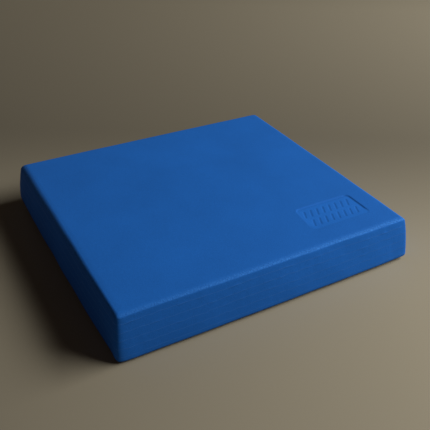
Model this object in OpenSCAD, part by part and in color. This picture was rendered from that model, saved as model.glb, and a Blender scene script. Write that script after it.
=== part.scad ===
// Balance pad: six sheets of closed-cell foam, bonded face to face into one soft block.
// Millimetres, +Z up. The origin is the centre of the underside, +X runs along the long
// side and -Y is the front. The sides lean inwards towards the top, with a slight belly.

/* [Pad] */
// Length of the base, along X
pad_l = 400; // [300:2:500]
// Width of the base, along Y
pad_w = 364; // [280:2:450]
// Height from underside to standing surface
pad_h = 60; // [50:1:72]
// Radius of the upright corners at the base
corner_r = 10.5; // [10.5:0.5:24]
// How far each side leans in between base and top
side_lean = 6; // [0:0.5:6]
// How far each side bellies out at half height
side_belly = 1.4; // [0:0.1:1.5]
// Radius of the edge around the standing surface
top_edge_r = 5; // [2:0.5:5]
// Radius of the edge around the underside
base_edge_r = 4; // [1:0.5:5]

/* [Lamination] */
// Thickness of the bond film between two sheets
film_t = 0.3; // [0.2:0.05:0.6]

/* [Badge] */
// Length of the recessed badge panel, along X
badge_l = 90; // [60:1:110]
// Width of the recessed badge panel, along Y
badge_w = 48; // [40:1:60]
// Depth of the badge panel below the standing surface
badge_depth = 1.5; // [1:0.25:3]
// Corner radius of the badge panel
badge_r = 6; // [2:0.5:10]
// Clear distance from the badge panel to the +X edge of the standing surface
badge_gap_x = 30; // [20:1:60]
// Clear distance from the badge panel to the front edge of the standing surface
badge_gap_y = 31; // [20:1:60]

/* [Badge marks] */
// Slanted dashes in each of the two rows
mark_count = 8; // [4:1:8]
// Length of one dash
mark_l = 15; // [8:0.5:16]
// Width of one dash
mark_w = 2.5; // [2:0.25:4]
// Slant of the dashes from upright
mark_slant = 25; // [0:1:30]
// Depth of the dashes below the badge panel
mark_depth = 0.5; // [0.5:0.25:2]

/* [Underside grip] */
// Distance between two grip grooves
groove_pitch = 15; // [10:0.5:25]
// Width of a grip groove
groove_w = 4; // [2:0.5:6]
// Depth of a grip groove
groove_depth = 1; // [0.5:0.25:2]
// Plain border around the grooved field
groove_border = 30; // [20:1:60]

/* [Hidden] */
sheet_count = 6;
film_count = sheet_count - 1;
mark_rows = 2;
sheet_t = (pad_h - film_count * film_t) / sheet_count;
layer_pitch = sheet_t + film_t;
// Corner axes: every level of the side is swept around these four
axis_x = pad_l / 2 - corner_r;
axis_y = pad_w / 2 - corner_r;
// Facet step of the rounded edges, in degrees
edge_step = 15;
// How far a cutting solid runs past the face it cuts
cut_over = 1;
badge_x = pad_l / 2 - side_lean - badge_gap_x - badge_l / 2;
badge_y = -(pad_w / 2 - side_lean - badge_gap_y - badge_w / 2);
// Shares of the panel: the length that a row of dashes takes, and the distance between rows
row_share = 0.86;
row_pitch_share = 0.4;
mark_pitch_x = row_share * badge_l / mark_count;
mark_pitch_y = row_pitch_share * badge_w;
groove_l = pad_l - 2 * groove_border;
groove_rows = 2 * floor((pad_w / 2 - groove_border) / groove_pitch);
$fn = 48;

foam_blue = "#1d5299";
core_blue = "#1b4c8c";
film_blue = "#4a82c8";

// Height of the lower face of a sheet, counted from 0 at the base
function sheet_z(i) = i * layer_pitch;

// Height of the lower face of a bond film, counted from 1 under the top sheet
function film_z(i) = pad_h - i * layer_pitch;

// Distance from a corner axis to the side at one height
function reach(z) =
    corner_r - side_lean * z / pad_h + side_belly * (1 - pow(2 * z / pad_h - 1, 2));

// Points of a quarter round about [centre, height], from one angle to another
function quarter_round(centre, height, r, from, to) =
    [for (a = [from : edge_step : to]) [centre + r * cos(a), height + r * sin(a)]];

// Side of the pad between two heights, with a rounded edge where it reaches top or base
function side_points(z0, z1) = concat(
    z0 < base_edge_r
        ? quarter_round(reach(base_edge_r) - base_edge_r, base_edge_r, base_edge_r, -90, 0)
        : [[reach(z0), z0]],
    z1 > pad_h - top_edge_r
        ? quarter_round(reach(pad_h - top_edge_r) - top_edge_r, pad_h - top_edge_r, top_edge_r, 0, 90)
        : [[reach(z1), z1]]);

// Cross section of the pad on one side of a corner axis
module half_section(z0, z1) {
    polygon(concat([[0, z0]], side_points(z0, z1), [[0, z1]]));
}

// One layer of the pad between two heights: a core block, two long sides, two short sides
// and four round corners, which meet face to face
module layer(z0, z1) {
    translate([-axis_x, -axis_y, z0])
        cube([2 * axis_x, 2 * axis_y, z1 - z0]);
    for (turn = [0, 180])
        rotate(turn) {
            translate([axis_x, 0, 0])
                rotate([90, 0, 0])
                    linear_extrude(height = 2 * axis_y, center = true)
                        half_section(z0, z1);
            translate([0, axis_y, 0])
                rotate([90, 0, 90])
                    linear_extrude(height = 2 * axis_x, center = true)
                        half_section(z0, z1);
            translate([axis_x, axis_y, 0])
                rotate_extrude(angle = 90)
                    half_section(z0, z1);
            translate([axis_x, -axis_y, 0])
                rotate(-90)
                    rotate_extrude(angle = 90)
                        half_section(z0, z1);
        }
}

// Flat outline with four round corners
module rounded_outline(l, w, r) {
    square([l - 2 * r, w], center = true);
    square([l, w - 2 * r], center = true);
    for (sx = [-1, 1])
        for (sy = [-1, 1])
            translate([sx * (l / 2 - r), sy * (w / 2 - r)])
                circle(r = r);
}

// Flat outline of a bar along Y with round ends
module dash_outline(l, w) {
    square([w, l - w], center = true);
    for (s = [-1, 1])
        translate([0, s * (l - w) / 2])
            circle(d = w);
}

// The recessed panel, with two rows of plain slanted dashes sunk into its floor
module badge_cut() {
    floor_z = pad_h - badge_depth;
    translate([badge_x, badge_y, floor_z])
        linear_extrude(height = badge_depth + cut_over)
            rounded_outline(badge_l, badge_w, badge_r);
    for (row = [0 : mark_rows - 1])
        for (i = [0 : mark_count - 1])
            translate([
                badge_x + (i - (mark_count - 1) / 2) * mark_pitch_x,
                badge_y + (row - (mark_rows - 1) / 2) * mark_pitch_y,
                floor_z - mark_depth])
                rotate(-mark_slant)
                    linear_extrude(height = mark_depth + cut_over)
                        dash_outline(mark_l, mark_w);
}

// Straight shallow grooves along X that let the underside grip a floor
module grip_cut() {
    for (i = [0 : groove_rows - 1])
        translate([0, (i - (groove_rows - 1) / 2) * groove_pitch, -cut_over])
            rotate(90)
                linear_extrude(height = groove_depth + cut_over)
                    dash_outline(groove_l, groove_w);
}

module top_sheet() {
    color(foam_blue)
        difference() {
            layer(sheet_z(sheet_count - 1), pad_h);
            badge_cut();
        }
}

// Core sheets are counted downwards from the one under the top sheet
module core_sheet(i) {
    z = sheet_z(sheet_count - 1 - i);
    color(core_blue)
        layer(z, z + sheet_t);
}

module base_sheet() {
    color(foam_blue)
        difference() {
            layer(0, sheet_t);
            grip_cut();
        }
}

// Bond films are counted downwards from the one under the top sheet
module bond_film(i) {
    color(film_blue)
        layer(film_z(i), film_z(i) + film_t);
}

top_sheet();
core_sheet(1);  // core_sheet_1
core_sheet(2);  // core_sheet_2
core_sheet(3);  // core_sheet_3
core_sheet(4);  // core_sheet_4
base_sheet();
bond_film(1);  // bond_film_1
bond_film(2);  // bond_film_2
bond_film(3);  // bond_film_3
bond_film(4);  // bond_film_4
bond_film(5);  // bond_film_5
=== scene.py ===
"""Looks of the balance pad: every CAD node is replaced by a finer mesh of the same sheet or film.

All lengths are in metres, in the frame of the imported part: origin at the centre of the
underside, +X along the long side towards the badge, -Y the front side, +Z up.
"""
import math

import bpy
import numpy as np
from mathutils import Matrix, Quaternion, Vector


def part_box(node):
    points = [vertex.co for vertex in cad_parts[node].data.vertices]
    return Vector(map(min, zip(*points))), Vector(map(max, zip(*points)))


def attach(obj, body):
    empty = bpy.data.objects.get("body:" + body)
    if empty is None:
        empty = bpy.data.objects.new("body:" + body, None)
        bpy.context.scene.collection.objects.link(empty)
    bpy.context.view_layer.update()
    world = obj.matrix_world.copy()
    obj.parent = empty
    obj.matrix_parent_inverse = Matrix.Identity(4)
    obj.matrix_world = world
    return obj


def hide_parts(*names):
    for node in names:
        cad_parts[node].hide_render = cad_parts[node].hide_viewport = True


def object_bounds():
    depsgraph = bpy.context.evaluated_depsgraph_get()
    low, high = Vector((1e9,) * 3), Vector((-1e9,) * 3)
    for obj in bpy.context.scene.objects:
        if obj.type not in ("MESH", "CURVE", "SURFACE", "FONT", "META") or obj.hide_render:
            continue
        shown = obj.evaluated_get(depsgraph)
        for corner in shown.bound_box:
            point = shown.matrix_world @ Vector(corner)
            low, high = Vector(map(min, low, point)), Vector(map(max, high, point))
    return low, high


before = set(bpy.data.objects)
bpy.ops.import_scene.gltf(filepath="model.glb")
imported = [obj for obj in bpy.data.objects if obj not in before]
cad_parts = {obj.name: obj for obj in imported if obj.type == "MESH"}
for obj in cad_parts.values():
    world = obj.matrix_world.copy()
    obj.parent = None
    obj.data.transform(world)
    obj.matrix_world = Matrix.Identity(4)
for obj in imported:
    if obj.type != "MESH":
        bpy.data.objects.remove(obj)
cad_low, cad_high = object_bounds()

MM = 0.001

# ---------------------------------------------------------------- the pad
LENGTH = cad_high.x - cad_low.x
WIDTH = cad_high.y - cad_low.y
HEIGHT = cad_high.z - cad_low.z
SIDE_LEAN = 6 * MM
SIDE_BELLY = 1.4 * MM
# Upright axes that the corners are swept around, this far in from the base sides
INSET = 16 * MM
AXIS_X = LENGTH / 2 - INSET
AXIS_Y = WIDTH / 2 - INSET
# Corners in outline order: front right, back right, back left, front left.
# Squareness 2 is a round corner and a high one is nearly sharp.
SQUARENESS = [7.5, 3.3, 4, 5]

# Each list of eight below holds a value for both ends of the four sides, and Ring.blend()
# blends them along the outline. The order is the front from -X to +X, the right side from
# front to back, the back from +X to -X, and the left side from back to front.

# Upper edge: how far in from the side its rounding reaches, how high it is, and how rubbed and
# paler it is, partly a painted highlight
TOP_EDGE_IN = np.array([8, 9, 6, 6, 7, 7, 8, 4.5]) * MM
TOP_EDGE_HIGH = np.array([3.2, 2.8, 4.5, 5, 5, 5, 6.5, 5]) * MM
EDGE_WEAR_AND_HIGHLIGHT = np.array([0.55, 1.1, 1.0, 0.6, 0.6, 0.5, 0.5, 0.4])
# Lower edge: how far in from the side its rounding reaches, and how high it is
BASE_EDGE_IN = np.array([18, 28, 22, 7, 7, 10, 10, 14]) * MM
BASE_EDGE_HIGH = np.array([6.2, 8.2, 7.5, 3, 3, 12, 12, 6.5]) * MM
# How far each side bows out in the middle of its length
SIDE_BOW = np.array([1.0, 1.0, 2.0, 2.0, 2.0, 2.0, 2.2, 2.2]) * MM
# How far each side is moved out at its base, at half height and at its top
BASE_SPREAD = np.array([2.4, 3.2, 1.4, 0.3, 0, 0, 0, -1.0]) * MM
HALF_SPREAD = np.array([0, 0, 0, 0, 0, 1.3, 2.0, 0]) * MM
TOP_SPREAD = np.array([0, 0, -0.6, -0.4, 0, 0, 0.2, 0.8]) * MM
# The cut sides' tone below is painted light and shade: paler at the lit front right, darker at the
# front left
# How much paler the cut sides are painted, and how strongly the bond lines show on them
CUT_SIDE_PAINTED_LIGHT = np.array([-0.05, 0.18, 0.16, 0, 0, 0, 0, -0.10])
BOND_SHOW = np.array([1, 1, 1, 0.8, 0.8, 0.7, 0.35, 0.35])

# Slope at which the side runs into the rounded upper edge
SHOULDER = math.radians(10)
# The paler rubbed band across the upper edge, partly a painted highlight, is a half wave. The first
# power moves its peak down towards the side, and the second one makes it narrower.
WEAR_HIGHLIGHT_LOWER, WEAR_HIGHLIGHT_NARROWER = 0.7, 2.2
# Power of the curve that the lower edge follows, where 2 is an ellipse, and how much darker the
# lower edge is painted where it meets the underside, as painted shade under the rounding
BASE_EDGE_POWER = 3
LOWER_EDGE_PAINTED_SHADE = 0.8
# Height of the slow waves in the standing surface, and how much higher its back left is
SWAY = 0.10 * MM
BACK_LIFT = 0.8 * MM

# ---------------------------------------------------------------- the lamination
SHEETS = ["top_sheet", "core_sheet_1", "core_sheet_2", "core_sheet_3", "core_sheet_4",
          "base_sheet"]
FILMS = ["bond_film_1", "bond_film_2", "bond_film_3", "bond_film_4", "bond_film_5"]
CORE_COUNT, FILM_COUNT = len(SHEETS) - 2, len(FILMS)
# How far the rim of a film spreads up and down past the film itself
FILM_BEAD = 0.08 * MM
# The side stands proud at a bond line by this much times a patchy share: the value for the
# first line, and how much less it is at each next one
RIDGE, RIDGE_LOSS = 0.155 * MM, 0.025 * MM
# That share is a middle value with a ripple on it, kept between zero and the most
RIDGE_MIDDLE, RIDGE_RIPPLE, RIDGE_MOST = 0.2, 0.9, 1.7
# Distance over which the side of a sheet swells out towards a bond line
SWELL_REACH = 0.9 * MM

# Ripples: seed, range of turns around the pad without its upper end, and size. The side
# wanders in and out by SIDE_RIPPLES, and a bond line strays up and down by BOND_RIPPLES. The
# line's number is added to the seeds of its ripples.
SIDE_RIPPLES = [(11, (6, 26), 0.20 * MM), (12, (60, 160), 0.02 * MM)]
BOND_RIPPLES = [(40, (3, 16), 0.25 * MM), (60, (40, 110), 0.22 * MM)]
RIDGE_SEED, RIDGE_TURNS = 80, (20, 90)
RIPPLE_WAVES = 24
# Most that the phase of a wave changes up the side, in radians per metre
RIPPLE_CLIMB = 130

# ---------------------------------------------------------------- the badge
BADGE_L, BADGE_W, BADGE_R = 90 * MM, 48 * MM, 6 * MM
BADGE_DEPTH, BADGE_WALL = 1.05 * MM, 2.6 * MM
# How much shorter the badge is at its back, where its -X end slants
BADGE_TAPER = 6 * MM
# Clear distance from the badge to the +X edge and to the front edge of the standing surface
BADGE_GAP_X, BADGE_GAP_Y = 30 * MM, 31 * MM
BADGE_X = LENGTH / 2 - SIDE_LEAN - BADGE_GAP_X - BADGE_L / 2
BADGE_Y = -(WIDTH / 2 - SIDE_LEAN - BADGE_GAP_Y - BADGE_W / 2)
# For the badge's -X end and for its front: the share of the full depth that is left there,
# and the share of the badge's length or width over which the depth becomes full
FADE_X, FADE_Y = (0.3, 0.16), (0.1, 0.3)

MARK_ROWS, MARK_COUNT = 2, 8
MARK_L, MARK_W = 15 * MM, 2.5 * MM
MARK_DEPTH, MARK_WALL = 0.3 * MM, 1.7 * MM
MARK_SLANT = math.radians(25)
# Shares of the badge: the length that a row of dashes takes, and the distance between rows
ROW_SHARE, ROW_PITCH_SHARE = 0.86, 0.4
MARK_PITCH_X = ROW_SHARE * BADGE_L / MARK_COUNT
MARK_PITCH_Y = ROW_PITCH_SHARE * BADGE_W

# How much paler the pressed floor of the badge is, how far inside the outline that is half
# reached, and the width over which it blends in
PRESSED_TONE, PRESSED_INSET, PRESSED_BLEND = 0.15, 1.5 * MM, 4 * MM
# Painted shade in the badge: how much darker the crease at the foot of the wall is painted, how far
# inside the outline it runs, and its half width. The dashes are painted as dark, and blend in over
# DASH_BLEND.
CREASE_PAINTED_SHADE, CREASE_INSET, CREASE_HALF = 0.20, 2.5 * MM, 1 * MM
DASH_BLEND = 1.5 * MM

# ---------------------------------------------------------------- the underside
GROOVE_PITCH, GROOVE_W = 15 * MM, 4 * MM
GROOVE_DEPTH, GROOVE_WALL = 1 * MM, 1.2 * MM
GROOVE_BORDER = 30 * MM
GROOVE_L = LENGTH - 2 * GROOVE_BORDER
GROOVE_ROWS = 2 * math.floor((WIDTH / 2 - GROOVE_BORDER) / GROOVE_PITCH)
GROOVE_CENTRES = [(i - (GROOVE_ROWS - 1) / 2) * GROOVE_PITCH for i in range(GROOVE_ROWS)]

# ---------------------------------------------------------------- fineness of the meshes
CORNER_STEPS = 20
TOP_EDGE_STEPS = 10
# Angles of the levels around the lower edge, from the underside up
BASE_EDGE_ANGLES = np.radians(np.linspace(90, 6, 12))
# Levels up the side of a sheet, as shares of its height, closer together at a bond line
TOP_LEVELS = [0, 0.06, 0.14, 0.28, 0.5, 0.75, 1]
CORE_LEVELS = [0, 0.03, 0.07, 0.13, 0.22, 0.35, 0.5, 0.65, 0.78, 0.87, 0.93, 0.97, 1]
BASE_LEVELS = [0, 0.2, 0.4, 0.6, 0.75, 0.85, 0.92, 0.97, 1]
# Levels up the rim of a film, each with its share of the film's height and of the ridge
FILM_LEVELS = [(0, 1), (0.5, 1.2), (1, 1)]
# Spacing of the points along the sides of a piece whose two faces are hidden
HIDDEN_STEP = 3 * MM
# Grid lines from the middle of a groove outwards
GROOVE_LINES = np.array([0, 0.9, 1.4, 1.7, 2.0, 2.3, 2.6, 3.1]) * MM
# Two grid lines closer together than this are one
SAME_LINE = 0.05 * MM
# Two faces that meet at more than this angle have a sharp edge
SHARP_ANGLE = math.radians(50)


# ---------------------------------------------------------------- camera
def add_camera():
    """The photograph's view: azimuth and elevation about a point close to the pad's centre."""
    azimuth, elevation = math.radians(30.44), math.radians(33.33)
    roll = math.radians(1.68)
    distance = 0.841
    centre = (cad_low + cad_high) / 2
    aim = centre + Vector((6.7, -21.8, 0.8)) * MM
    forward = Vector((math.sin(azimuth) * math.cos(elevation),
                      math.cos(azimuth) * math.cos(elevation),
                      -math.sin(elevation)))
    data = bpy.data.cameras.new("camera")
    data.lens = 52.9
    data.clip_start, data.clip_end = 0.05, 50
    camera = bpy.data.objects.new("camera", data)
    camera.location = aim - forward * distance
    camera.rotation_mode = "QUATERNION"
    turn = Quaternion((0, 0, 1), roll)
    camera.rotation_quaternion = forward.to_track_quat("-Z", "Y") @ turn
    bpy.context.scene.collection.objects.link(camera)
    bpy.context.scene.camera = camera


# ---------------------------------------------------------------- shape of the side
def reach(z):
    """Distance from a corner axis out to the side, at height z."""
    share = z / HEIGHT
    return INSET - SIDE_LEAN * share + SIDE_BELLY * (1 - (2 * share - 1) ** 2)


class Ring:
    """The outline that every level of a piece is swept around: one point per grid line on
    the four sides, and a fan of points around each corner axis."""

    # Place 0 to 4 around the outline: each side takes this share of one, its corner the rest
    SIDE_SHARE = 0.8
    # Power by which the points of a corner crowd together at its diagonal
    CROWDING = 1.8
    # Power of a bow's curve along its side, and the share of the bow that is gone at the top
    BOW_POWER, BOW_LOSS = 3, 0.75

    def __init__(self, xs, ys):
        points, directions, cells, place = [], [], [], []
        nx, ny = len(xs), len(ys)
        sides = [
            ([(x, -AXIS_Y) for x in xs], -90, [(i, 0) for i in range(nx)]),
            ([(AXIS_X, y) for y in ys], 0, [(nx - 1, j) for j in range(ny)]),
            ([(x, AXIS_Y) for x in xs[::-1]], 90, [(i, ny - 1) for i in range(nx)][::-1]),
            ([(-AXIS_X, y) for y in ys[::-1]], 180, [(0, j) for j in range(ny)][::-1]),
        ]
        for k, (side, angle, side_cells) in enumerate(sides):
            turn = math.radians(angle)
            normal = (round(math.cos(turn)), round(math.sin(turn)))
            points += side
            directions += [normal] * len(side)
            cells += side_cells
            run = np.linalg.norm(np.subtract(side, side[0]), axis=1)
            place += list(k + self.SIDE_SHARE * run / run[-1])
            for step in range(1, CORNER_STEPS):
                share = step / CORNER_STEPS
                points.append(side[-1])
                directions.append(self.corner_direction(turn, share, SQUARENESS[k]))
                cells.append(side_cells[-1])
                place.append(k + 1 - (1 - self.SIDE_SHARE) * (1 - share))
        self.points = np.array(points, float)
        self.directions = np.array(directions, float)
        self.cells = cells
        self.place = np.array(place)
        rim = self.points + INSET * self.directions
        steps = np.linalg.norm(np.roll(rim, -1, 0) - rim, axis=1)
        self.around = np.concatenate([[0], np.cumsum(steps)[:-1]]) / steps.sum()
        share = np.abs(self.points / np.array([AXIS_X, AXIS_Y]))
        along = np.where(np.abs(self.directions[:, 0]) > np.abs(self.directions[:, 1]),
                         share[:, 1], share[:, 0])
        self.bow = self.blend(SIDE_BOW) * (1 - along ** self.BOW_POWER)
        self.spread = [self.blend(v) for v in (BASE_SPREAD, HALF_SPREAD, TOP_SPREAD)]

    def blend(self, values):
        """Values given for both ends of the four sides, blended along the outline."""
        knots = [k + end for k in range(4) for end in (0, self.SIDE_SHARE)]
        return np.interp(self.place, knots + [4], np.append(values, values[0]))

    def corner_direction(self, turn, share, power):
        """Direction from a corner axis to the outline, longer towards a square corner. The
        points crowd together at the diagonal, where the outline turns fastest."""
        side = 2 * share - 1
        local = math.pi / 4 * (1 + math.copysign(abs(side) ** self.CROWDING, side))
        longer = (math.cos(local) ** power + math.sin(local) ** power) ** (-1 / power)
        return longer * math.cos(turn + local), longer * math.sin(turn + local)

    def level(self, out, z):
        """Points at a distance out from the corner axes, at height z. The bow, which is
        strongest at the base, and the three spreads come on top of that distance."""
        share = np.asarray(z) / HEIGHT
        bow = self.bow * (1 - self.BOW_LOSS * share)
        base, half, top = self.spread
        out = out + bow + base * (1 - share) + half * 4 * share * (1 - share) + top * share
        flat = self.points + self.directions * out[:, None]
        return np.column_stack([flat, np.broadcast_to(z, len(flat))])


def ripple(ring, height, seed, turns, size):
    """Smooth closed noise along the outline: sines of seeded phase. turns is the range of
    their turns around the pad without its upper end, and size is the root mean square."""
    around = ring.around
    rng = np.random.default_rng(seed)
    counts = rng.integers(turns[0], turns[1], RIPPLE_WAVES)
    phases = rng.uniform(0, 2 * np.pi, RIPPLE_WAVES)
    climbs = rng.uniform(-RIPPLE_CLIMB, RIPPLE_CLIMB, RIPPLE_WAVES)
    angle = 2 * np.pi * np.multiply.outer(around, counts) + phases
    angle = angle + np.multiply.outer(np.broadcast_to(height, around.shape), climbs)
    return size * np.sin(angle).sum(-1) / math.sqrt(RIPPLE_WAVES / 2)


def side_ripple(ring, z):
    """How far the knife-cut side wanders out of its even curve."""
    return sum(ripple(ring, z, *wave) for wave in SIDE_RIPPLES)


def bond_wander(ring, number):
    """How far bond line number strays up and down from its even height."""
    return sum(ripple(ring, 0.0, seed + number, turns, size)
               for seed, turns, size in BOND_RIPPLES)


def bond_ridge(ring, number):
    """How far the side stands proud at bond line number: patchy, never hollow, and fainter
    further down."""
    patch = ripple(ring, 0.0, RIDGE_SEED + number, RIDGE_TURNS, 1.0)
    proud = (RIDGE - RIDGE_LOSS * (number - 1)) * ring.blend(BOND_SHOW)
    return proud * np.clip(RIDGE_MIDDLE + RIDGE_RIPPLE * patch, 0.0, RIDGE_MOST)


# ---------------------------------------------------------------- surfaces
def smooth_step(x):
    """Runs softly from 0 to 1 while x does."""
    x = np.clip(x, 0, 1)
    return x * x * (3 - 2 * x)


def fade_in(share, least, width):
    """Runs softly from least to 1 while share goes from 0 to width."""
    return least + (1 - least) * smooth_step(share / width)


def rounded_box_distance(x, y, length, width, radius):
    """Signed distance to a rounded rectangle about the origin, below zero inside."""
    qx = np.abs(x) - (length / 2 - radius)
    qy = np.abs(y) - (width / 2 - radius)
    outside = np.hypot(np.maximum(qx, 0), np.maximum(qy, 0))
    return outside + np.minimum(np.maximum(qx, qy), 0) - radius


def sunk(distance, depth, wall):
    """Depth of a pressed shape with a sloping wall, soft at the lip and at the foot."""
    return depth * smooth_step(0.5 - distance / wall)


def badge_distance(bx, by):
    """Distance to the outline of the badge, at a point given from its centre."""
    shorter = BADGE_TAPER * (by / BADGE_W + 0.5)
    return rounded_box_distance(bx - shorter / 2, by, BADGE_L - shorter, BADGE_W, BADGE_R)


def dash_distance(bx, by):
    """Distance to the nearest dash, at a point given from the badge's centre."""
    nearest = np.full(np.shape(bx), BADGE_L)
    cos, sin = math.cos(MARK_SLANT), math.sin(MARK_SLANT)
    for row in range(MARK_ROWS):
        for i in range(MARK_COUNT):
            mx = bx - (i - (MARK_COUNT - 1) / 2) * MARK_PITCH_X
            my = by - (row - (MARK_ROWS - 1) / 2) * MARK_PITCH_Y
            across, along = mx * cos - my * sin, mx * sin + my * cos
            dash = rounded_box_distance(across, along, MARK_W, MARK_L, MARK_W / 2)
            nearest = np.minimum(nearest, dash)
    return nearest


def badge_drop(bx, by):
    """Depth of the sunk badge with its plain dashes. It is deepest at its back, and fades out
    towards its front and its -X end."""
    fade = fade_in(bx / BADGE_L + 0.5, *FADE_X) * fade_in(by / BADGE_W + 0.5, *FADE_Y)
    panel = sunk(badge_distance(bx, by), BADGE_DEPTH * fade, BADGE_WALL)
    return panel + sunk(dash_distance(bx, by), MARK_DEPTH, MARK_WALL)


def badge_tone_and_painted_shade(x, y):
    """How much paler the pressed floor of the badge is. Its dashes and the foot of its back wall
    are painted darker: painted shade in these hollows."""
    bx, by = x - BADGE_X, y - BADGE_Y
    panel = badge_distance(bx, by)
    floor = sunk(panel + PRESSED_INSET, PRESSED_TONE, PRESSED_BLEND)
    foot = np.exp(-((panel + CREASE_INSET) / CREASE_HALF) ** 2) * smooth_step(by / BADGE_W)
    dash = sunk(dash_distance(bx, by), 1.0, DASH_BLEND)
    return floor - CREASE_PAINTED_SHADE * np.maximum(foot, dash)


def top_height(x, y):
    """Height of the standing surface: slow waves, a lift at the back left, and the badge.
    The waves' numbers are in radians per metre, and their phases in radians."""
    waves = np.sin(23 * x + 1.1) * np.sin(19 * y + 0.4) + np.sin(41 * x - 13 * y + 2.0)
    lifted = BACK_LIFT * smooth_step(0.5 * (y / WIDTH - x / LENGTH) + 0.5) ** 2
    return HEIGHT - badge_drop(x - BADGE_X, y - BADGE_Y) + SWAY * waves + lifted


def base_height(x, y):
    """Height of the underside, with its straight grip grooves."""
    rise = np.zeros_like(x)
    for centre in GROOVE_CENTRES:
        groove = rounded_box_distance(x, y - centre, GROOVE_L, GROOVE_W, GROOVE_W / 2)
        rise += sunk(groove, GROOVE_DEPTH, GROOVE_WALL)
    return rise


# ---------------------------------------------------------------- mesh assembly
class Builder:
    """Collects vertices, faces and the values that the materials read."""

    def __init__(self, ring):
        self.ring = ring
        self.vertices, self.faces, self.values = [], [], []
        self.count = 0

    def add(self, points, cut=0.0, edge=0.0, tone=0.0):
        """Adds points and returns their indices. cut and edge are the shares of cut side and of
        rubbed edge, partly a painted highlight, that the material shows there, and tone is how much
        paler it is painted, which holds painted light and shade."""
        points = np.asarray(points, float).reshape(-1, 3)
        self.vertices.append(points)
        value = np.zeros((len(points), 3))
        value[:, 0], value[:, 1], value[:, 2] = cut, edge, tone
        self.values.append(value)
        first = self.count
        self.count += len(points)
        return np.arange(first, self.count)

    def cut_side(self, levels, tone=0.0):
        """Adds a ring of points for each (out, z) level of a cut side."""
        return [self.add(self.ring.level(out, z), cut=1.0, tone=tone) for out, z in levels]

    def strip(self, lower, upper):
        """Quads between two rings of indices, the outside facing away from the pad."""
        a, b = np.roll(lower, -1), np.roll(upper, -1)
        for quad in zip(lower, a, b, upper):
            corners = [int(v) for k, v in enumerate(quad) if v != quad[k - 1]]
            if len(corners) > 2:
                self.faces.append(corners)

    def skin(self, rims):
        """Joins every ring of indices to the next one up."""
        for below, above in zip(rims, rims[1:]):
            self.strip(below, above)

    def grid_cap(self, rim, xs, ys, height, upwards, tone=None):
        """Closes a piece with a grid over the core rectangle at z = height(x, y), paler by
        tone(x, y)."""
        gx, gy = np.meshgrid(xs, ys, indexing="ij")
        paler = tone(gx, gy).ravel() if tone else 0.0
        nodes = self.add(np.stack([gx, gy, height(gx, gy)], -1), tone=paler)
        nodes = nodes.reshape(gx.shape)
        inner = np.array([nodes[cell] for cell in self.ring.cells])
        a, b = nodes[:-1, :-1].ravel(), nodes[1:, :-1].ravel()
        c, d = nodes[1:, 1:].ravel(), nodes[:-1, 1:].ravel()
        quads = np.stack([a, b, c, d], 1) if upwards else np.stack([a, d, c, b], 1)
        self.faces += quads.tolist()
        self.join_cap(rim, inner, upwards)

    def flat_cap(self, rim, z, upwards):
        """Closes a hidden face with a fan over the core rectangle at height z."""
        corners, index = {}, []
        for cell, point in zip(self.ring.cells, self.ring.points):
            if cell not in corners:
                corners[cell] = int(self.add([(*point, z)], cut=1.0)[0])
            index.append(corners[cell])
        inner = np.array(index)
        centre = int(self.add([(0, 0, z)], cut=1.0)[0])
        for a, b in zip(inner, np.roll(inner, -1)):
            if a != b:
                self.faces.append([int(a), int(b), centre] if upwards
                                  else [int(b), int(a), centre])
        self.join_cap(rim, inner, upwards)

    def join_cap(self, rim, inner, upwards):
        """Joins the last ring of a side to the rim of its cap."""
        if upwards:
            self.strip(rim, inner)
        else:
            self.strip(inner, rim)

    def build(self, name, material):
        """Makes the piece, riding on the pad's one body in place of its CAD node."""
        mesh = bpy.data.meshes.new(name)
        mesh.from_pydata(np.concatenate(self.vertices).tolist(), [], self.faces)
        values = np.concatenate(self.values)
        for k, key in enumerate(("cut", "edge", "tone")):
            layer = mesh.attributes.new(key, "FLOAT", "POINT")
            layer.data.foreach_set("value", values[:, k].astype(np.float32))
        mesh.shade_smooth()
        mesh.set_sharp_from_angle(angle=SHARP_ANGLE)
        mesh.materials.append(material)
        piece = bpy.data.objects.new("foam_" + name if name in SHEETS else "edge_" + name, mesh)
        bpy.context.scene.collection.objects.link(piece)
        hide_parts(name)
        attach(piece, "root")
        return piece


# ---------------------------------------------------------------- pieces
def spaced(low, high, step):
    """Even grid lines from low to high, no further apart than step."""
    return np.linspace(low, high, max(2, math.ceil((high - low) / step - 1e-6) + 1))


def joined_lines(*runs):
    """One sorted list of grid lines from several runs that share end points."""
    lines = np.sort(np.concatenate(runs))
    return lines[np.concatenate([[True], np.diff(lines) > SAME_LINE])]


def plain_ring():
    """The outline of a piece whose two faces are hidden."""
    return Ring(spaced(-AXIS_X, AXIS_X, HIDDEN_STEP), spaced(-AXIS_Y, AXIS_Y, HIDDEN_STEP))


def bond_edge(ring, number, upper):
    """Height of the upper or lower rim of bond film number, where a sheet meets it."""
    low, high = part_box(FILMS[number - 1])
    nominal = high.z + FILM_BEAD if upper else low.z - FILM_BEAD
    return nominal + bond_wander(ring, number)


def side_levels(ring, low, high, ridge_low, ridge_high, shares):
    """Rings up a cut side between two wavy rims, as (out, z) pairs. Each ridge is how far
    the side swells out at that rim."""
    levels = []
    for share in shares:
        z = low + (high - low) * share
        swell = ridge_low * np.exp(-(z - low) / SWELL_REACH)
        swell = swell + ridge_high * np.exp(-(high - z) / SWELL_REACH)
        levels.append((reach(z) + side_ripple(ring, z) + swell, z))
    return levels


def plain_layer(name, ring, levels, tone, material):
    """A piece with two flat hidden faces, from the (out, z) levels of its cut side."""
    made = Builder(ring)
    rims = made.cut_side(levels, tone)
    made.skin(rims)
    bottom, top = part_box(name)
    made.flat_cap(rims[0], bottom.z, upwards=False)
    made.flat_cap(rims[-1], top.z, upwards=True)
    return made.build(name, material)


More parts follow.
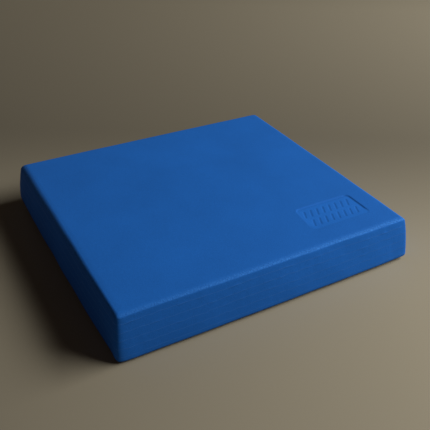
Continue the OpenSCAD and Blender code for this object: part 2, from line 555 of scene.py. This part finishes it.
def core_sheet(number, material):
    """Core sheet number, counted downwards, between two bond films."""
    ring = plain_ring()
    low, high = bond_edge(ring, number + 1, True), bond_edge(ring, number, False)
    levels = side_levels(ring, low, high, bond_ridge(ring, number + 1),
                         bond_ridge(ring, number), CORE_LEVELS)
    # The cut side's tone is painted light and shade
    return plain_layer(f"core_sheet_{number}", ring, levels, ring.blend(CUT_SIDE_PAINTED_LIGHT), material)


def bond_film(number, material):
    """Bond film number: a thin sheet whose rim shows as a line around the pad."""
    ring = plain_ring()
    low, high = bond_edge(ring, number, False), bond_edge(ring, number, True)
    levels = []
    for share, proud in FILM_LEVELS:
        z = low + (high - low) * share
        levels.append((reach(z) + side_ripple(ring, z) + bond_ridge(ring, number) * proud, z))
    return plain_layer(FILMS[number - 1], ring, levels, 0.0, material)


def top_sheet(material):
    """Top sheet: cut side, rounded upper edge and the standing surface."""
    margin, fine, coarse = 5 * MM, 0.5 * MM, 4 * MM
    x0, x1 = BADGE_X - BADGE_L / 2 - margin, BADGE_X + BADGE_L / 2 + margin
    y0, y1 = BADGE_Y - BADGE_W / 2 - margin, BADGE_Y + BADGE_W / 2 + margin
    xs = joined_lines(spaced(-AXIS_X, x0, coarse), spaced(x0, x1, fine),
                      spaced(x1, AXIS_X, coarse))
    ys = joined_lines(spaced(-AXIS_Y, y0, coarse), spaced(y0, y1, fine),
                      spaced(y1, AXIS_Y, coarse))
    ring = Ring(xs, ys)
    made = Builder(ring)
    inwards, drop = ring.blend(TOP_EDGE_IN), ring.blend(TOP_EDGE_HIGH)
    start = np.arctan(math.tan(SHOULDER) * drop / inwards)
    shoulder = HEIGHT - drop * (1 - np.sin(start))
    centre = reach(shoulder) - inwards * np.cos(start)
    # The cut side's tone is painted light and shade
    low, tone = bond_edge(ring, 1, True), ring.blend(CUT_SIDE_PAINTED_LIGHT)
    levels = side_levels(ring, low, shoulder, bond_ridge(ring, 1), 0.0, TOP_LEVELS)
    rims = made.cut_side(levels, tone)

    wander, wear_and_highlight = side_ripple(ring, shoulder), ring.blend(EDGE_WEAR_AND_HIGHLIGHT)
    rise = top_height(*ring.points.T) - HEIGHT
    for step in range(1, TOP_EDGE_STEPS + 1):
        share = step / TOP_EDGE_STEPS
        angle = start + (math.pi / 2 - start) * share
        out = centre + inwards * np.cos(angle) + wander * (1 - share)
        z = HEIGHT - drop * (1 - np.sin(angle)) + rise * share ** 2
        # Paler rubbed colour over the upper edge, partly a painted highlight, strongest at the lit
        # front right
        worn_and_highlit = wear_and_highlight * math.sin(math.pi * share ** WEAR_HIGHLIGHT_LOWER) ** WEAR_HIGHLIGHT_NARROWER
        rims.append(made.add(ring.level(out, z), cut=1 - share, edge=worn_and_highlit,
                             tone=tone * (1 - share)))
    made.skin(rims)
    made.flat_cap(rims[0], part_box("top_sheet")[0].z, upwards=False)
    # Paler pressed floor of the badge, with painted shade in its dashes and at the foot of its back
    # wall
    made.grid_cap(rims[-1], xs, ys, top_height, upwards=True, tone=badge_tone_and_painted_shade)
    return made.build("top_sheet", material)


def base_sheet(material):
    """Base sheet: grooved underside, rounded lower edge and cut side."""
    fine, coarse, between = 0.4 * MM, 4 * MM, 5 * MM
    past, before = GROOVE_L / 2 + 1 * MM, GROOVE_L / 2 - 3 * MM
    xs = joined_lines(spaced(-AXIS_X, -past, coarse), spaced(-past, -before, fine),
                      spaced(-before, before, between), spaced(before, past, fine),
                      spaced(past, AXIS_X, coarse))
    rim_lines = spaced(-AXIS_Y, AXIS_Y, GROOVE_PITCH / 2)[[0, 1, -2, -1]]
    ys = joined_lines(rim_lines, *(centre + GROOVE_LINES for centre in GROOVE_CENTRES),
                      *(centre - GROOVE_LINES for centre in GROOVE_CENTRES))
    ring = Ring(xs, ys)
    made = Builder(ring)
    inwards, rise = ring.blend(BASE_EDGE_IN), ring.blend(BASE_EDGE_HIGH)
    # The cut side's tone is painted light and shade
    wander, tone = side_ripple(ring, rise), ring.blend(CUT_SIDE_PAINTED_LIGHT)
    rims = []
    for angle in BASE_EDGE_ANGLES:
        aside, down = (f(angle) ** (2 / BASE_EDGE_POWER) for f in (math.cos, math.sin))
        out = reach(rise) - inwards * (1 - aside) + wander * aside
        # The lower edge is painted darker towards the underside: painted shade under the rounding
        rims.append(made.add(ring.level(out, rise * (1 - down)), cut=aside,
                             tone=tone * aside - LOWER_EDGE_PAINTED_SHADE * math.sin(angle)))
    high, ridge = bond_edge(ring, FILM_COUNT, False), bond_ridge(ring, FILM_COUNT)
    rims += made.cut_side(side_levels(ring, rise, high, 0.0, ridge, BASE_LEVELS), tone)
    made.skin(rims)
    made.grid_cap(rims[0], xs, ys, base_height, upwards=False)
    made.flat_cap(rims[-1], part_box("base_sheet")[1].z, upwards=True)
    return made.build("base_sheet", material)


# ---------------------------------------------------------------- shader nodes
def new_material(name):
    """A new material, its node tree and its shader."""
    material = bpy.data.materials.new(name)
    material.use_nodes = True
    return material, material.node_tree, material.node_tree.nodes["Principled BSDF"]


def feed(tree, socket, value):
    """Links a socket to the output of another node, or sets it to a constant."""
    if hasattr(value, "is_output"):
        tree.links.new(value, socket)
    else:
        socket.default_value = value


def wire(tree, made, **inputs):
    """Feeds the inputs of a node by name."""
    for key, value in inputs.items():
        feed(tree, made.inputs[key.replace("_", " ")], value)


def node(tree, kind, **inputs):
    """Adds a shader node and feeds its inputs by name."""
    made = tree.nodes.new("ShaderNode" + kind)
    wire(tree, made, **inputs)
    return made


def maths(tree, operation, a, b=0.0, c=0.0):
    """One step of arithmetic."""
    made = tree.nodes.new("ShaderNodeMath")
    made.operation = operation
    for socket, value in zip(made.inputs, (a, b, c)):
        feed(tree, socket, value)
    return made.outputs[0]


def scaled(tree, value, factor, offset):
    """value times factor plus offset."""
    return maths(tree, "MULTIPLY_ADD", value, factor, offset)


def mixed(tree, share, a, b, blend="MIX"):
    """The colour a, mixed with b by share."""
    made = tree.nodes.new("ShaderNodeMix")
    made.data_type = "RGBA"
    made.blend_type = blend
    for index, value in ((0, share), (6, a), (7, b)):
        feed(tree, made.inputs[index], value)
    return made.outputs[2]


def shaded(tree, colour, shade):
    """A colour times a shade of grey."""
    grey = node(tree, "CombineColor", Red=shade, Green=shade, Blue=shade).outputs[0]
    return mixed(tree, 1.0, colour, grey, "MULTIPLY")


def ramp(tree, value, start, end, first, last, kind="LINEAR"):
    """Runs from first to last while value goes from start to end."""
    made = node(tree, "MapRange", Value=value, From_Min=start, From_Max=end,
                To_Min=first, To_Max=last)
    made.interpolation_type = kind
    return made.outputs[0]


def reading(tree, key):
    """A value that the mesh holds at each of its points."""
    made = tree.nodes.new("ShaderNodeAttribute")
    made.attribute_name = key
    return made.outputs["Fac"]


def object_point(tree):
    """The shaded point, in object space."""
    return tree.nodes.new("ShaderNodeTexCoord").outputs["Object"]


def noise(tree, scale, detail, roughness=0.55, stretch=(1, 1, 1)):
    """Noise in object space, scale in cells per metre."""
    where = object_point(tree)
    if stretch != (1, 1, 1):
        where = node(tree, "Mapping", Vector=where, Scale=stretch).outputs[0]
    return node(tree, "TexNoise", Vector=where, Scale=scale, Detail=detail,
                Roughness=roughness).outputs[0]


def foam_cells(tree, scale):
    """Rounded foam cells in object space, scale in cells per metre."""
    return node(tree, "TexVoronoi", Vector=object_point(tree), Scale=scale).outputs["Distance"]


# ---------------------------------------------------------------- materials
FOAM_BLUE = (0.0135, 0.1500, 0.600, 1)
CUT_BLUE = (0.0130, 0.1460, 0.595, 1)
# Paler blue of a rubbed edge, partly a painted highlight
WORN_AND_HIGHLIT_BLUE = (0.0400, 0.2250, 0.720, 1)
FILM_BLUE = (0.0200, 0.1750, 0.640, 1)
SHEEN_BLUE = (0.45, 0.65, 1.0, 1)
FLOOR_BEIGE = (0.355, 0.32, 0.242, 1)
# Direction in which the floor's painted shade changes, turned from +Y towards +X
FLOOR_TURN = math.radians(30)


def foam_material():
    """Closed-cell foam: a pebbled skin, open cells where a knife cut it, paler rubbed edges that
    are partly a painted highlight, and painted light and shade from the tone that the mesh holds.
    """
    material, tree, shader = new_material("closed_cell_foam")
    cut, edge, tone = (reading(tree, key) for key in ("cut", "edge", "tone"))
    # Slow clouds and fine flecks of shade, the broken rubbing and painted highlight of an edge, and
    # open cells
    cloud = noise(tree, 14, 2.0)
    fleck = noise(tree, 520, 2.0, 0.6)
    broken = noise(tree, 720, 2.0, 0.6, stretch=(1, 0.55, 0.4))
    open_cells = foam_cells(tree, 950)

    # Share of the paler edge colour: rubbing, partly a painted highlight
    worn_and_highlit = maths(tree, "MULTIPLY", edge, scaled(tree, broken, 2.5, -0.7))
    worn_and_highlit.node.use_clamp = True
    colour = mixed(tree, cut, FOAM_BLUE, CUT_BLUE)
    colour = mixed(tree, worn_and_highlit, colour, WORN_AND_HIGHLIT_BLUE)
    shade = scaled(tree, cloud, 0.22, 0.89)
    shade = maths(tree, "MULTIPLY", shade, scaled(tree, fleck, 0.24, 0.88))
    pit = maths(tree, "MULTIPLY", cut, scaled(tree, open_cells, -0.12, 0.06))
    rough_edge = maths(tree, "MULTIPLY", edge, scaled(tree, broken, 1.0, -0.5))
    for part in (pit, tone, rough_edge):
        shade = maths(tree, "ADD", shade, part)

    pebble = noise(tree, 780, 3.0, 0.6)
    coarse = noise(tree, 210, 2.0, 0.5)
    height = maths(tree, "MULTIPLY_ADD", coarse, 0.5, pebble)
    height = maths(tree, "MULTIPLY", height, scaled(tree, cut, -0.55, 1.0))
    cut_height = maths(tree, "MULTIPLY", open_cells, 0.35)
    height = maths(tree, "MULTIPLY_ADD", cut, cut_height, height)
    height = maths(tree, "MULTIPLY_ADD", worn_and_highlit, broken, height)
    bump = node(tree, "Bump", Strength=0.8, Distance=0.2 * MM, Height=height)

    wire(tree, shader, Base_Color=shaded(tree, colour, shade), Normal=bump.outputs[0],
         Roughness=scaled(tree, fleck, 0.18, 0.66), Specular_IOR_Level=0.11,
         Sheen_Weight=0.035, Sheen_Roughness=0.5, Sheen_Tint=SHEEN_BLUE)
    return material


def film_material():
    """Bond film: its cut rim is paler than the foam, and patchy along its length."""
    material, tree, shader = new_material("bond_film")
    patch = noise(tree, 90, 3.0, 0.6)
    share = scaled(tree, patch, 3.0, -1.0)
    share.node.use_clamp = True
    grain = noise(tree, 700, 2.0)
    bump = node(tree, "Bump", Strength=0.5, Distance=0.1 * MM, Height=grain)
    wire(tree, shader, Base_Color=mixed(tree, share, CUT_BLUE, FILM_BLUE),
         Roughness=scaled(tree, patch, 0.2, 0.5), Normal=bump.outputs[0])
    return material


def floor_material():
    """Floor with painted shade that stands in for the falloff of the light. It is painted darkest
    behind the pad, and in front of it a little darker on the left than on the right. The ramps run
    over distances in metres from the pad's centre."""
    material, tree, shader = new_material("floor_with_painted_shade")
    turned = node(tree, "Mapping", Vector=object_point(tree), Rotation=(0, 0, -FLOOR_TURN))
    turned.vector_type = "TEXTURE"
    parts = node(tree, "SeparateXYZ", Vector=turned.outputs[0])
    across, behind = parts.outputs["X"], parts.outputs["Y"]
    depth = maths(tree, "MULTIPLY", ramp(tree, behind, -0.10, 0.30, 1.0, 0.52, "SMOOTHSTEP"),
                  ramp(tree, behind, 0.30, 1.12, 1.0, 1.60))
    tilt = maths(tree, "MULTIPLY", ramp(tree, across, -0.30, 0.25, -0.27, 0.08),
                 ramp(tree, behind, -0.15, 0.10, 1.0, 0.0, "SMOOTHSTEP"))
    shade = maths(tree, "ADD", depth, tilt)
    wire(tree, shader, Base_Color=shaded(tree, FLOOR_BEIGE, shade), Roughness=0.9,
         Specular_IOR_Level=0.1)
    return material


# ---------------------------------------------------------------- floor and light
FLOOR_HALF = 12.0
WORLD_COLOUR, WORLD_STRENGTH = (1.0, 0.62, 0.25, 1), 0.020
# Soft boxes: name, azimuth and elevation in degrees, distance, size, power in watts, colour
LIGHTS = [
    ("key", -24, 38, 2.4, (2.0, 0.9), 62, (1.0, 0.97, 0.92)),
    ("fill", 200, 10, 2.0, (1.4, 0.6), 1.0, (0.72, 0.67, 0.95)),
    ("rear", 100, 10, 2.6, (1.4, 0.6), 2.4, (0.9, 0.85, 0.75)),
]


def add_floor():
    """A wide square floor under the pad."""
    mesh = bpy.data.meshes.new("floor")
    corners = [(x * FLOOR_HALF, y * FLOOR_HALF, 0) for x, y in ((-1, -1), (1, -1), (1, 1), (-1, 1))]
    mesh.from_pydata(corners, [], [(0, 1, 2, 3)])
    mesh.materials.append(floor_material())
    floor = bpy.data.objects.new("floor", mesh)
    bpy.context.scene.collection.objects.link(floor)


def add_light(name, azimuth, elevation, distance, size, power, colour):
    """A soft box that faces the pad. Azimuth 0 is the +X side, 90 the back."""
    a, e = math.radians(azimuth), math.radians(elevation)
    away = Vector((math.cos(a) * math.cos(e), math.sin(a) * math.cos(e), math.sin(e)))
    data = bpy.data.lights.new(name, "AREA")
    data.shape = "RECTANGLE"
    data.size, data.size_y = size
    data.energy, data.color = power, colour
    lamp = bpy.data.objects.new(name, data)
    lamp.location = (cad_low + cad_high) / 2 + away * distance
    lamp.rotation_mode = "QUATERNION"
    lamp.rotation_quaternion = (-away).to_track_quat("-Z", "Y")
    bpy.context.scene.collection.objects.link(lamp)


def add_world():
    """Weak warm light from all around."""
    world = bpy.data.worlds.new("world")
    world.use_nodes = True
    background = world.node_tree.nodes["Background"]
    background.inputs["Color"].default_value = WORLD_COLOUR
    background.inputs["Strength"].default_value = WORLD_STRENGTH
    bpy.context.scene.world = world


# ---------------------------------------------------------------- the scene
add_camera()
foam, film = foam_material(), film_material()
top_sheet(foam)
for number in range(1, CORE_COUNT + 1):
    core_sheet(number, foam)
base_sheet(foam)
for number in range(1, FILM_COUNT + 1):
    bond_film(number, film)
add_floor()
for light in LIGHTS:
    add_light(*light)
add_world()
bpy.context.scene.view_settings.view_transform = "Standard"
